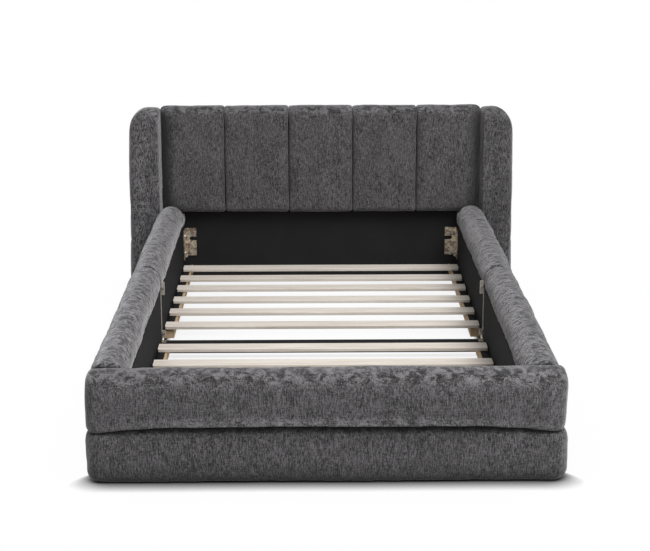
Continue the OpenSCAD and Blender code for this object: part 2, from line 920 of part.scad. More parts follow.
headboard_panel();
headboard_battens();
headboard_back_cover();
headboard_lining();
for (i = [1:channel_count]) {
    headboard_channel(i);
}
at_left() wing_core();  // wing_core_left
wing_core();  // wing_core_right
at_left() wing_pad();  // wing_pad_left
wing_pad();  // wing_pad_right
wing_bolts();
for (i = [0:3]) {
    at_rail(i) rail_frame();
    at_rail(i) rail_lining();
    at_rail(i) rail_roll(i > 1);
    at_rail(i) rail_skirt(i > 1);
    at_rail(i) ledger();
}
ledger_tapes();
footboard_frame();
footboard_lining();
footboard_roll();
footboard_skirt();
for (i = [1:len(head_slat_shares)]) {
    slat_head(i);
}
for (i = [1:len(foot_slat_shares)]) {
    slat_foot(i);
}
crossbar();
crossbar_angles();
corner_brackets();  // corner_brackets_head
at_foot() corner_brackets();  // corner_brackets_foot
joint_plates();
joint_bolts();
wood_screws();
floor_glides();
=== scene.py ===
import math

import bpy
import numpy as np
from mathutils import Matrix, Vector, noise


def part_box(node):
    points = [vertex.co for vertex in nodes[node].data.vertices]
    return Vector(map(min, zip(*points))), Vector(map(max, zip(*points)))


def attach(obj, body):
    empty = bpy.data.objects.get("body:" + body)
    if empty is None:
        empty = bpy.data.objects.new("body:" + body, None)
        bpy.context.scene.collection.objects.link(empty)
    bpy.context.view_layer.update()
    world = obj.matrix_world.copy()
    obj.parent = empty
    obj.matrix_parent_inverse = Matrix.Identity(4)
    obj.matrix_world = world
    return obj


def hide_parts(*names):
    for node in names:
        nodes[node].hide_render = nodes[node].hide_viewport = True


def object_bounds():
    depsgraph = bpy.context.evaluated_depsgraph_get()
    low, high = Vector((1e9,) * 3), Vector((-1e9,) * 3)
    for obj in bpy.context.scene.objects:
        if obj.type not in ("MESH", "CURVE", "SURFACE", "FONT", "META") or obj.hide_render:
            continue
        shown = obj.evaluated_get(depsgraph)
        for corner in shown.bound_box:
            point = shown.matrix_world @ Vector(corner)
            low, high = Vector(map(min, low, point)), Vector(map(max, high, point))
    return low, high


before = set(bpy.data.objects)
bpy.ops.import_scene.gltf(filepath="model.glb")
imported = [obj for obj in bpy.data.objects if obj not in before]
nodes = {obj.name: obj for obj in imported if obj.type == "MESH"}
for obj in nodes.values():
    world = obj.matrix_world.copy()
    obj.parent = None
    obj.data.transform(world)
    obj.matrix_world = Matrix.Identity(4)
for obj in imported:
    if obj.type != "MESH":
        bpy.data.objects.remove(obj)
scene = bpy.context.scene
cad_low, cad_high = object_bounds()

# The bed is looked at from beyond its foot, a little to the left of its middle and from
# standing height, through a long lens that keeps its rails from converging too fast.
camera_place = Vector((-0.0282, -4.7689, 1.4692))
camera_pitch = math.radians(14.176)
camera_yaw = math.radians(0.434)
camera_roll = math.radians(-0.136)
lens_mm = 89.72
sensor_mm = 36.0
ahead = Vector((
    math.sin(camera_yaw)*math.cos(camera_pitch),
    math.cos(camera_yaw)*math.cos(camera_pitch),
    -math.sin(camera_pitch),
))
level = Vector((math.cos(camera_yaw), -math.sin(camera_yaw), 0))
rightward = math.cos(camera_roll)*level + math.sin(camera_roll)*level.cross(ahead)
upward = rightward.cross(ahead)
camera = bpy.data.objects.new("camera", bpy.data.cameras.new("camera"))
camera.data.lens = lens_mm
camera.data.sensor_width = sensor_mm
camera.matrix_world = Matrix.Translation(camera_place) @ Matrix((
    (rightward.x, upward.x, -ahead.x),
    (rightward.y, upward.y, -ahead.y),
    (rightward.z, upward.z, -ahead.z),
)).to_4x4()
scene.collection.objects.link(camera)
scene.camera = camera
scene.view_settings.view_transform = "Standard"


# The studio is a white tent: an even pale light from all round, one soft lamp to the right
# that models the pads, and a white floor that glows for the camera, with the bed's shadow
# painted on it.
def wired(tree, kind, settings, inputs):
    """Adds a shader node; an input given as a socket is linked, and a value is set."""
    made = tree.nodes.new(kind)
    for name, value in settings.items():
        setattr(made, name, value)
    for name, value in inputs.items():
        if isinstance(value, bpy.types.NodeSocket):
            tree.links.new(value, made.inputs[name])
        else:
            made.inputs[name].default_value = value
    return made


def maths(tree, operation, first, second=0.0, third=0.0, clamp=False):
    """The result of one sum on values or sockets."""
    settings = {"operation": operation, "use_clamp": clamp}
    return wired(tree, "ShaderNodeMath", settings, {0: first, 1: second, 2: third}).outputs[0]


def parts_of(tree, quality):
    """The X, Y and Z of a shaded point's Position or Normal."""
    whole = wired(tree, "ShaderNodeNewGeometry", {}, {}).outputs[quality]
    return wired(tree, "ShaderNodeSeparateXYZ", {}, {0: whole}).outputs


def seen_directly(tree):
    """1 for rays that show the backdrop itself: from the camera, or by way of metal or glass."""
    path = wired(tree, "ShaderNodeLightPath", {}, {})
    shiny = maths(tree, "ADD", path.outputs["Is Glossy Ray"], path.outputs["Is Transmission Ray"])
    return maths(tree, "ADD", path.outputs["Is Camera Ray"], shiny, clamp=True)


tent_light = 0.35
tent = bpy.data.worlds.new("tent")
tent.use_nodes = True
tree = tent.node_tree
tree.nodes.clear()
white = (1.0, 1.0, 1.0, 1.0)
lit = wired(tree, "ShaderNodeBackground", {}, {"Color": white, "Strength": tent_light})
shown = wired(tree, "ShaderNodeBackground", {}, {"Color": white, "Strength": 1.0})
both = wired(tree, "ShaderNodeMixShader", {}, {
    0: seen_directly(tree), 1: lit.outputs[0], 2: shown.outputs[0]})
wired(tree, "ShaderNodeOutputWorld", {}, {"Surface": both.outputs[0]})
scene.world = tent

lamp_size = 3.0
lamp_watts = 232.0
lamp_place = Vector((1.9, -2.3, 4.4))
lamp_aim = Vector((0.0, 0.1, 0.25))
lamp = bpy.data.objects.new("soft_lamp", bpy.data.lights.new("soft_lamp", "AREA"))
lamp.data.shape = "SQUARE"
lamp.data.size = lamp_size
lamp.data.energy = lamp_watts
lamp.location = lamp_place
lamp.rotation_euler = (lamp_aim - lamp_place).to_track_quat("-Z", "Y").to_euler()
scene.collection.objects.link(lamp)

floor_half = 9.0
contact_reach = 0.06
well_reach = 0.014
contact_taper = 0.07
contact_falloff = 2.4
shade_reach = 0.35
shade_depth = 0.26
shade_falloff = 3.0
floor_mesh = bpy.data.meshes.new("floor")
floor_mesh.from_pydata(
    [(x*floor_half, y*floor_half, 0) for x, y in ((-1, -1), (1, -1), (1, 1), (-1, 1))],
    [], [(0, 1, 2, 3)])
floor = bpy.data.objects.new("floor", floor_mesh)
scene.collection.objects.link(floor)
paper = bpy.data.materials.new("white_floor_painted_shadow")
paper.use_nodes = True
tree = paper.node_tree
tree.nodes.clear()
# Painted shadow: ambient occlusion dims the floor's glow near the bed. The reach is longer in
# front of the footboard than beside it or under the bed, and the floor dims a little more wherever
# the bed covers it within the shade reach.
spot = parts_of(tree, "Position")
off_middle = maths(tree, "ABSOLUTE", spot["X"])
past_front = maths(tree, "SUBTRACT", spot["Y"], cad_low.y)
past_side = maths(tree, "SUBTRACT", off_middle, cad_high.x - contact_taper)
past_either = maths(tree, "MAXIMUM", past_front, past_side)
past_foot = maths(tree, "DIVIDE", past_either, contact_taper, clamp=True)
reach = maths(tree, "MULTIPLY_ADD", past_foot, well_reach - contact_reach, contact_reach)
contact = wired(tree, "ShaderNodeAmbientOcclusion", {"samples": 16}, {"Distance": reach})
wide = wired(tree, "ShaderNodeAmbientOcclusion", {"samples": 16}, {"Distance": shade_reach})
near = maths(tree, "POWER", contact.outputs["AO"], contact_falloff)
covered = maths(tree, "POWER", maths(tree, "SUBTRACT", 1.0, wide.outputs["AO"]), shade_falloff)
painted_wide_shade = maths(tree, "SUBTRACT", 1.0, maths(tree, "MULTIPLY", covered, shade_depth))
glow_with_painted_shadow = wired(tree, "ShaderNodeEmission", {}, {"Strength": maths(tree, "MULTIPLY", near, painted_wide_shade)})
matt = wired(tree, "ShaderNodeBsdfDiffuse", {}, {"Color": (0.58, 0.58, 0.58, 1.0)})
both = wired(tree, "ShaderNodeMixShader", {}, {
    0: seen_directly(tree), 1: matt.outputs[0], 2: glow_with_painted_shadow.outputs[0]})
wired(tree, "ShaderNodeOutputMaterial", {}, {"Surface": both.outputs[0]})
floor_mesh.materials.append(paper)


# The headboard stands on a frame of raw softwood battens with a plywood panel glued and
# stapled on their front. It is bare timber, planed but not finished.
COLOUR, VALUE, VECTOR = "NodeSocketColor", "NodeSocketFloat", "NodeSocketVector"


def group_of(name, inputs):
    """A new shader group with its two ends. It gives a surface's colour, roughness and height."""
    tree = bpy.data.node_groups.new(name, "ShaderNodeTree")
    for socket, kind, value in inputs:
        made = tree.interface.new_socket(socket, in_out="INPUT", socket_type=kind)
        made.default_value = value
    for socket, kind in (("Colour", COLOUR), ("Roughness", VALUE), ("Height", VALUE)):
        tree.interface.new_socket(socket, in_out="OUTPUT", socket_type=kind)
    return tree, tree.nodes.new("NodeGroupInput").outputs, tree.nodes.new("NodeGroupOutput").inputs


def own_place(tree):
    """Where a shaded point lies, in its object's own metres."""
    return wired(tree, "ShaderNodeTexCoord", {}, {}).outputs["Object"]


def stretched(tree, place, stretch):
    """Coordinates multiplied along X, Y and Z."""
    settings = {"operation": "MULTIPLY"}
    return wired(tree, "ShaderNodeVectorMath", settings, {0: place, 1: stretch}).outputs[0]


def speckle(tree, place, stretch, detail=2.0, roughness=0.5, distortion=0.0):
    """Noise on stretched coordinates: stretch gives its grains per metre along X, Y and Z."""
    made = wired(tree, "ShaderNodeTexNoise", {}, {
        "Vector": stretched(tree, place, stretch), "Scale": 1.0, "Detail": detail,
        "Roughness": roughness, "Distortion": distortion})
    return made.outputs["Fac"]


def spread(tree, value, low, high, start=0.0, end=1.0):
    """Stretches the part of a value from low to high over start to end."""
    made = wired(tree, "ShaderNodeMapRange", {"interpolation_type": "SMOOTHSTEP"}, {
        "Value": value, "From Min": low, "From Max": high, "To Min": start, "To Max": end})
    return made.outputs[0]


def blended(tree, share, first, second):
    """A colour between two others."""
    made = wired(tree, "ShaderNodeMix", {"data_type": "RGBA"}, {0: share, 6: first, 7: second})
    return made.outputs[2]


def scaled(tree, value, gain):
    """A value times another."""
    return maths(tree, "MULTIPLY", value, gain)


def total(tree, *terms):
    """Several values added up."""
    added = terms[0]
    for term in terms[1:]:
        added = maths(tree, "ADD", added, term)
    return added


timber, given, result = group_of("timber_grain", [
    ("Stretch", VECTOR, (1, 1, 1)), ("Pale", COLOUR, white), ("Dark", COLOUR, white),
    ("Layers", VALUE, 0.0)])
place = own_place(timber)
along = stretched(timber, place, given["Stretch"])
figure = speckle(timber, along, (1, 1, 1), 3.0, 0.6, 0.6)
fibres = speckle(timber, along, (7, 7, 7), 2.0, 0.7)
clouds = speckle(timber, place, (2.4, 9.0, 9.0), 2.0)
veneers = wired(timber, "ShaderNodeTexWave", {"bands_direction": "Z"}, {
    "Vector": place, "Scale": 190.0, "Distortion": 0.6, "Detail": 1.0}).outputs["Fac"]
facing_up = maths(timber, "ABSOLUTE", parts_of(timber, "Normal")["Z"])
upright = maths(timber, "SUBTRACT", 1.0, spread(timber, facing_up, 0.3, 0.8))
edge = scaled(timber, upright, given["Layers"])
layered = scaled(timber, scaled(timber, veneers, edge), 0.5)
tone = total(
    timber,
    scaled(timber, spread(timber, figure, 0.3, 0.72), 0.55),
    scaled(timber, spread(timber, fibres, 0.25, 0.75), 0.3),
    scaled(timber, spread(timber, clouds, 0.3, 0.7), 0.22))
tone = maths(timber, "ADD", maths(timber, "SUBTRACT", tone, 0.1), layered, clamp=True)
timber.links.new(blended(timber, tone, given["Pale"], given["Dark"]), result["Colour"])
timber.links.new(spread(timber, fibres, 0.2, 0.8, 0.5, 0.72), result["Roughness"])
timber.links.new(total(timber, scaled(timber, fibres, 0.7), layered), result["Height"])


def finish_of(name, group, values, depth, strength, **shader):
    """A material whose colour, roughness and relief come from a shader group."""
    material = bpy.data.materials.new(name)
    material.use_nodes = True
    tree = material.node_tree
    surface = tree.nodes["Principled BSDF"]
    made = wired(tree, "ShaderNodeGroup", {"node_tree": group}, values).outputs
    bump = wired(tree, "ShaderNodeBump", {}, {
        "Height": made["Height"], "Distance": depth, "Strength": strength})
    tree.links.new(made["Colour"], surface.inputs["Base Color"])
    tree.links.new(made["Roughness"], surface.inputs["Roughness"])
    tree.links.new(bump.outputs[0], surface.inputs["Normal"])
    for socket, value in shader.items():
        surface.inputs[socket.replace("_", " ")].default_value = value
    return material


def dress(node, material, soften=0.0):
    """Gives a CAD node its finish; soften rounds its sawn edges a little."""
    piece = nodes[node]
    piece.data.materials.clear()
    piece.data.materials.append(material)
    if soften:
        bevel = piece.modifiers.new("eased_edges", "BEVEL")
        bevel.width = soften
        bevel.segments = 2
        bevel.limit_method = "ANGLE"
        bevel.harden_normals = True


GRAIN_X, GRAIN_Y, GRAIN_Z = (5, 95, 95), (95, 5, 95), (95, 95, 5)
ply_pale, ply_dark = (0.52, 0.36, 0.20, 1.0), (0.30, 0.18, 0.09, 1.0)
pine_pale, pine_dark = (0.66, 0.50, 0.31, 1.0), (0.45, 0.29, 0.15, 1.0)
grain_depth = 0.0006
sawn_edge = 0.0008
plywood = finish_of("plywood_panel", timber, {
    "Stretch": GRAIN_X, "Pale": ply_pale, "Dark": ply_dark, "Layers": 1.0},
    depth=grain_depth, strength=0.35)
upright_ply = finish_of("plywood_upright", timber, {
    "Stretch": GRAIN_Z, "Pale": ply_pale, "Dark": ply_dark, "Layers": 0.0},
    depth=grain_depth, strength=0.35)
batten_pine = finish_of("pine_batten", timber, {
    "Stretch": GRAIN_Z, "Pale": pine_pale, "Dark": pine_dark, "Layers": 0.0},
    depth=grain_depth, strength=0.35)
dress("headboard_panel", plywood, sawn_edge)
dress("headboard_battens", batten_pine, sawn_edge)

# Black non-woven lining is stretched over the front of that panel below the padding and over
# the back of the whole headboard, and stapled at its edges. It shows small embossed dimples.
felt, given, result = group_of("felted_lining", [
    ("Base", COLOUR, white), ("Dust", COLOUR, white)])
place = own_place(felt)
dimples = wired(felt, "ShaderNodeTexVoronoi", {"feature": "SMOOTH_F1"}, {
    "Vector": place, "Scale": 420.0, "Randomness": 0.35}).outputs["Distance"]
hairs = speckle(felt, place, (900, 900, 900), 3.0, 0.7)
patches = speckle(felt, place, (7, 7, 7), 3.0, 0.6)
fleck = scaled(
    felt, spread(felt, hairs, 0.35, 0.8), spread(felt, patches, 0.3, 0.8, 0.35, 1.0))
felt.links.new(blended(felt, fleck, given["Base"], given["Dust"]), result["Colour"])
felt.links.new(spread(felt, hairs, 0.2, 0.8, 0.75, 0.95), result["Roughness"])
height = total(felt, scaled(felt, dimples, 0.8), scaled(felt, hairs, 0.35))
felt.links.new(height, result["Height"])
dimple_depth = 0.0006
lining_black = finish_of("black_lining", felt, {
    "Base": (0.006, 0.006, 0.007, 1.0), "Dust": (0.020, 0.020, 0.022, 1.0)},
    depth=dimple_depth, strength=0.5, Specular_IOR_Level=0.15)
# The headboard's front lining is a lighter copy of the same black lining: painted light.
head_lining_painted_light = finish_of("black_lining_head_painted_light", felt, {
    "Base": (0.011, 0.011, 0.012, 1.0), "Dust": (0.030, 0.030, 0.032, 1.0)},
    depth=dimple_depth, strength=0.5, Specular_IOR_Level=0.2)

lining_cell = 0.012
lining_thick = 0.0008
lining_inset = 0.0003
pucker_depth = 0.0005
pucker_middle = 0.5
pucker_waves = ((0.5, 9.0), (0.25, 34.0))


def laid_cloth(
        name, node, box, seen_from, cloth=lining_black,
        tuck=0.0):
    """A sheet over the face of a box that is seen along one axis, with slack between staples.
    Its upper edge runs on by the tuck, up under the padding above it."""
    low, high = Vector(box[0]), Vector(box[1])
    high.z += tuck
    axis = max(range(3), key=lambda i: abs(seen_from[i]))
    across, up = [i for i in range(3) if i != axis]
    side = 1 if seen_from[axis] > 0 else -1
    face = high[axis] if side > 0 else low[axis]
    sizes = (high[across] - low[across], high[up] - low[up])
    counts = [max(2, round(size/lining_cell)) for size in sizes]
    points = []
    for j in range(counts[1] + 1):
        for i in range(counts[0] + 1):
            point = [0.0, 0.0, 0.0]
            point[across] = low[across] + sizes[0]*i/counts[0]
            point[up] = low[up] + sizes[1]*j/counts[1]
            point[axis] = face
            slack = pucker_middle
            for share, per_metre in pucker_waves:
                slack += share*noise.noise(Vector(point)*per_metre)
            point[axis] -= side*(lining_inset + pucker_depth*max(0.0, slack))
            points.append(point)
    row = counts[0] + 1
    faces = [
        (j*row + i, j*row + i + 1, (j + 1)*row + i + 1, (j + 1)*row + i)
        for j in range(counts[1]) for i in range(counts[0])]
    turn = -side if axis == 1 else side
    if turn < 0:
        faces = [corners[::-1] for corners in faces]
    mesh = bpy.data.meshes.new(name)
    mesh.from_pydata(points, [], faces)
    mesh.shade_smooth()
    piece = bpy.data.objects.new(name, mesh)
    scene.collection.objects.link(piece)
    thick = piece.modifiers.new("thickness", "SOLIDIFY")
    thick.thickness = lining_thick
    thick.offset = -1
    mesh.materials.append(cloth)
    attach(piece, "root")
    if node:
        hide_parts(node)


BACK, FRONT = Vector((0, 1, 0)), Vector((0, -1, 0))
lining_tuck = 0.006
laid_cloth(
    "headboard_front_lining", "headboard_lining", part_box("headboard_lining"), FRONT,
    cloth=head_lining_painted_light, tuck=lining_tuck)
panel_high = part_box("headboard_panel")[1]
cover_low, cover_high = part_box("headboard_back_cover")
core_low, core_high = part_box("wing_core_right")
cover_lap = 0.005
middle_cover = (
    Vector((-core_low.x, cover_low.y, cover_low.z)),
    Vector((core_low.x, cover_high.y, panel_high.z + cover_lap)))
laid_cloth("headboard_back_lining", "headboard_back_cover", middle_cover, BACK)
wing_edges = {
    "left": (-core_high.x - cover_lap, -core_low.x),
    "right": (core_low.x, core_high.x + cover_lap)}
for side, (start, end) in wing_edges.items():
    wing_cover = (
        Vector((start, cover_low.y, core_low.z)),
        Vector((end, cover_high.y, core_high.z + cover_lap)))
    laid_cloth(f"wing_back_lining_{side}", None, wing_cover, BACK)


# Five padded channels cover the headboard. Each is a strip of foam under dark grey chenille,
# pulled tight down the seams between them and wrapped over the top to the back.
def swing(tree, value, gain):
    """A noise about its middle, times a gain."""
    return scaled(tree, maths(tree, "SUBTRACT", value, 0.5), gain)


chenille, given, result = group_of("chenille_pile", [
    ("Pale", COLOUR, white), ("Dark", COLOUR, white), ("Nap", VECTOR, (1, 1, 1)),
    ("Comb", VECTOR, (1, 1, 1)), ("Crush", VALUE, 0.0)])
plain = own_place(chenille)
place = stretched(chenille, plain, given["Nap"])
lines = stretched(chenille, plain, given["Comb"])
tufts = speckle(chenille, place, (430, 430, 430), 2.0, 0.9)
strokes = speckle(chenille, lines, (380, 380, 380), 1.0, 0.6, 0.3)
swept = speckle(chenille, place, (24, 24, 24), 3.0, 0.7, 0.5)
weft = speckle(chenille, plain, (55, 55, 380), 1.0, 0.6)
bruised = speckle(chenille, plain, (46, 46, 46), 4.0, 0.7, 0.5)
upturned = spread(chenille, parts_of(chenille, "Normal")["Z"], 0.2, 0.8, 0.0, 1.3)
crush = total(chenille, given["Crush"], upturned)
marks = swing(chenille, spread(chenille, bruised, 0.36, 0.64), crush)
roused = maths(chenille, "MULTIPLY_ADD", given["Crush"], 3.2, 1.0)
strands = total(chenille, swing(chenille, tufts, 1.8), swing(chenille, strokes, 1.25))
tone = total(
    chenille,
    scaled(chenille, strands, roused),
    swing(chenille, weft, 0.7),
    swing(chenille, swept, 0.6),
    scaled(chenille, marks, 0.7))
tone = maths(chenille, "ADD", tone, 0.4, clamp=True)
# Painted shade: ambient occlusion darkens the pile wherever other surfaces lie within 70 mm, in
# creases, in seams and under the footboard's lip.
painted_crease_shade = wired(chenille, "ShaderNodeAmbientOcclusion", {"samples": 12}, {"Distance": 0.07})
tone = scaled(chenille, tone, maths(chenille, "POWER", painted_crease_shade.outputs["AO"], 1.4))
chenille.links.new(blended(chenille, tone, given["Dark"], given["Pale"]), result["Colour"])
chenille.links.new(spread(chenille, tufts, 0.2, 0.8, 0.8, 1.0), result["Roughness"])
height = total(chenille, scaled(chenille, tufts, 0.7), scaled(chenille, strokes, 0.6), marks)
chenille.links.new(height, result["Height"])

pile_pale, pile_dark = (0.250, 0.240, 0.249), (0.006, 0.0055, 0.006)
NAP_DOWN = ((1.0, 1.0, 0.42), (1.0, 1.0, 0.18))
NAP_ALONG = ((0.6, 0.22, 0.6), (0.12, 0.28, 0.12))


def pile(name, nap, crush, painted_shade=1.0):
    """Chenille whose tufts and combed lines nap stretches; crush is how bruised it is.
    painted_shade darkens its colours and sheen: painted shade.
    """
    pale, dark = ((*(painted_shade*part for part in colour), 1.0) for colour in (pile_pale, pile_dark))
    return finish_of(name, chenille, {
        "Pale": pale, "Dark": dark, "Nap": nap[0], "Comb": nap[1], "Crush": crush},
        depth=0.0022, strength=0.6,
        Sheen_Weight=0.8*painted_shade, Sheen_Roughness=0.42, Sheen_Tint=(0.80, 0.79, 0.82, 1.0))


def points_of(piece):
    """The places of a piece's points, one row each."""
    flat = np.empty(len(piece.data.vertices)*3)
    piece.data.vertices.foreach_get("co", flat)
    return flat.reshape(-1, 3)


def set_points(piece, points):
    """Puts a piece's points at the given places."""
    piece.data.vertices.foreach_set("co", np.asarray(points).ravel())
    piece.data.update()


def made_solid(piece):
    """Replaces a piece's mesh with what its modifiers make of it."""
    graph = bpy.context.evaluated_depsgraph_get()
    mesh = bpy.data.meshes.new_from_object(piece.evaluated_get(graph))
    piece.modifiers.clear()
    piece.data = mesh


cloth_swell = 4.0
cloth_slack = 0.02
cloth_rise = 0.002
cloth_steps = 14


def padding(name, node, voxel, held):
    """Foam under cloth in the space of a CAD pad. held says which points its frame holds. The
    cloth is cut wider than the foam by the slack, and swells out by no more than its rise."""
    piece = bpy.data.objects.new(name, nodes[node].data.copy())
    scene.collection.objects.link(piece)
    remesh = piece.modifiers.new("even_mesh", "REMESH")
    remesh.mode = "VOXEL"
    remesh.voxel_size = voxel
    soft = piece.modifiers.new("rounding", "SMOOTH")
    soft.factor = 0.5
    soft.iterations = 2
    made_solid(piece)
    start = points_of(piece)
    low, high = (np.array(corner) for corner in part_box(node))
    start = low + (start - start.min(0))*(high - low)/(start.max(0) - start.min(0))
    set_points(piece, start)
    fixed = held(start)
    group = piece.vertex_groups.new(name="held")
    group.add([int(i) for i in np.flatnonzero(fixed)], 1.0, "REPLACE")
    cloth = piece.modifiers.new("cover", "CLOTH").settings
    cloth.quality = 4
    cloth.tension_stiffness = cloth.compression_stiffness = 12.0
    cloth.bending_stiffness = 0.4
    cloth.use_pressure = True
    cloth.uniform_pressure_force = cloth_swell
    cloth.shrink_min = -cloth_slack
    cloth.vertex_group_mass = "held"
    cloth.effector_weights.gravity = 0.0
    for step in range(1, cloth_steps + 1):
        scene.frame_set(step)
    graph = bpy.context.evaluated_depsgraph_get()
    raised = np.array([v.co for v in piece.evaluated_get(graph).data.vertices])
    piece.modifiers.clear()
    piece.vertex_groups.clear()
    scene.frame_set(1)
    move = raised - start
    risen = np.linalg.norm(move, axis=1, keepdims=True)
    move *= cloth_rise/np.maximum(risen, cloth_rise)
    move[fixed] = 0.0
    set_points(piece, start + move)
    piece.data.shade_smooth()
    return piece


def twin(name, piece, flip=(1, 1, 1), move=(0, 0, 0)):
    """A second pad of the same cut, flipped or moved to its own place."""
    copy = bpy.data.objects.new(name, piece.data.copy())
    scene.collection.objects.link(copy)
    set_points(copy, points_of(copy)*np.array(flip) + np.array(move))
    if np.prod(flip) < 0:
        copy.data.flip_normals()
    return copy


def rumpled(piece, seed, waves, held):
    """Moves the points that no frame holds in and out by waves: (height, per metre) pairs."""
    start = points_of(piece)
    normals = np.array([v.normal for v in piece.data.vertices])
    lift = np.zeros(len(start))
    for height, per_metre in waves:
        lift += height*np.array([
            noise.noise(Vector(point*per_metre) + Vector((seed, 2*seed, 0))) for point in start])
    lift[held(start)] = 0.0
    set_points(piece, start + normals*lift[:, None])


def fuller(piece, past, move):
    """Moves a pad's side beyond a place along x, the more the further out its points lie."""
    points = points_of(piece)
    beyond = np.maximum(points[:, 0]*math.copysign(1.0, past) - abs(past), 0.0)
    points[:, 0] += move*beyond/beyond.max()
    set_points(piece, points)


crisped_length = 1.6


def crisped(points, edge, reach):
    """Tightens the round along an edge of a pad. The edge is two faces, each given by its axis,
    its place and the way into the pad. The change ends crisped_length reaches along each."""
    depths = [(points[:, axis] - place)*inward for axis, place, inward in edge]
    for (axis, _, inward), depth, other in zip(edge, depths, depths[::-1]):
        near = np.clip(depth/reach, 0, 1)
        share = np.clip(crisped_length - other/reach, 0, 1)
        points[:, axis] -= inward*share*near*(1 - near)*reach


off_floor = 0.0006


def upholster(piece, node, cloth):
    """Finishes a pad: clear of the floor, in its cloth, smooth, and in its solid's place."""
    points = points_of(piece)
    points[:, 2] = np.maximum(points[:, 2], off_floor)
    set_points(piece, points)
    piece.data.materials.clear()
    piece.data.materials.append(cloth)
    smooth = piece.modifiers.new("smooth_cover", "SUBSURF")
    smooth.levels = smooth.render_levels = 1
    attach(piece, "root")
    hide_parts(node)


channel_voxel = 0.006
channel_count = 5
head_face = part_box("headboard_lining")[0].y
back_face = cad_high.y
# The headboard's cloth is darkened by painted shade.
headboard_cloth = pile("chenille_headboard", NAP_DOWN, 0.11, 0.74)
channel_crown = 0.005
channel_front = 0.01
crease_depth = 0.032
crease_width = 0.05
crease_power = 1.7
seam_reach = 0.012
seam_half = 0.0002
channels_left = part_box("headboard_channel_1")[0].x
channels_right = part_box(f"headboard_channel_{channel_count}")[1].x
channel_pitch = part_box("headboard_channel_2")[0].x - channels_left
touch = 0.004
end_touch = 0.003


def on_headboard(points):
    """Where a channel lies against the panel, or is stapled at the back."""
    against = (points[:, 1] > head_face - touch) & (points[:, 2] < panel_high.z + touch)
    return against | (points[:, 1] > back_face - end_touch)


channel_waves = [(0.0022, (9, 9, 5)), (0.0007, (34, 34, 16))]
channel_seed = 7.3
first = padding("channel_1", "headboard_channel_1", channel_voxel, on_headboard)
inner = padding("channel_2", "headboard_channel_2", channel_voxel, on_headboard)
channels = [first, inner]
for number in range(3, channel_count):
    shift = (number - 2)*channel_pitch
    channels.append(twin(f"channel_{number}", inner, move=(shift, 0, 0)))
channels.append(twin(f"channel_{channel_count}", first, flip=(-1, 1, 1)))
for number, piece in enumerate(channels, 1):
    low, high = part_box(f"headboard_channel_{number}")
    rumpled(piece, channel_seed*number, channel_waves, on_headboard)
    points = points_of(piece)
    points[:, 0] = np.clip(points[:, 0], low.x + seam_half, high.x - seam_half)
    for face, inward in ((low.x, 1), (high.x, -1)):
        crisped(points, ((0, face, inward), (1, low.y, 1)), seam_reach)
    across = np.clip((points[:, 0] - low.x)/(high.x - low.x), 0, 1)
    front = points[:, 1] < head_face - channel_front
    from_end = np.minimum(points[:, 0] - channels_left, channels_right - points[:, 0])
    crease = np.clip(1 - from_end/crease_width, 0, 1)**crease_power
    points[:, 1] += np.where(front, channel_crown*(2*across - 1)**4 + crease_depth*crease, 0.0)
    set_points(piece, points)
    upholster(piece, f"headboard_channel_{number}", headboard_cloth)

# A wing stands at each end of the headboard: foam round an upright plywood box, under the
# same cloth, held by three bolts that run from inside the box into the headboard's batten.
wing_voxel = 0.007
# The right wing's cloth is a darker copy of the left's: painted shade on the wing that turns from
# the lamp.
wing_cloths = {
    "left": pile("chenille_wing_left", NAP_DOWN, 0.34),
    "right": pile("chenille_wing_right", NAP_DOWN, 0.34, 0.62)}
lip_forward = 0.018
lip_width = 0.045
lip_depth = 0.02
wing_edge_reach = 0.028
wing_edge_out = 0.004
left_wing_side = 0.62
left_wing_out = 0.004
steel_flecks, given, result = group_of("worn_metal", [
    ("Bright", COLOUR, white), ("Stained", COLOUR, white), ("Grains", VALUE, 300.0)])
place = own_place(steel_flecks)
stains = wired(steel_flecks, "ShaderNodeTexNoise", {}, {
    "Vector": place, "Scale": 70.0, "Detail": 4.0, "Roughness": 0.6,
    "Distortion": 0.9}).outputs["Fac"]
grains = wired(steel_flecks, "ShaderNodeTexNoise", {}, {
    "Vector": place, "Scale": given["Grains"], "Detail": 3.0}).outputs["Fac"]
tone = scaled(steel_flecks, spread(steel_flecks, stains, 0.35, 0.65), 0.8)
tone = maths(steel_flecks, "ADD", tone, scaled(steel_flecks, grains, 0.25), clamp=True)
colour = blended(steel_flecks, tone, given["Bright"], given["Stained"])
steel_flecks.links.new(colour, result["Colour"])
steel_flecks.links.new(spread(steel_flecks, grains, 0.2, 0.8, 0.28, 0.5), result["Roughness"])
steel_flecks.links.new(grains, result["Height"])
bright_steel = finish_of("zinc_bright_steel", steel_flecks, {
    "Bright": (0.66, 0.66, 0.64, 1.0), "Stained": (0.42, 0.42, 0.41, 1.0), "Grains": 400.0},
    depth=0.0002, strength=0.3, Metallic=1.0)
dress("wing_bolts", bright_steel)


def on_wing_core(points):
    """Where a wing's pad lies on its plywood box, or is stapled at the back."""
    x, y, z = np.abs(points[:, 0]), points[:, 1], points[:, 2]
    beside = (x > core_low.x - touch) & (x < core_high.x + touch)
    on_box = beside & (y > core_low.y - touch) & (z < core_high.z + touch)
    return on_box | (y > back_face - end_touch)


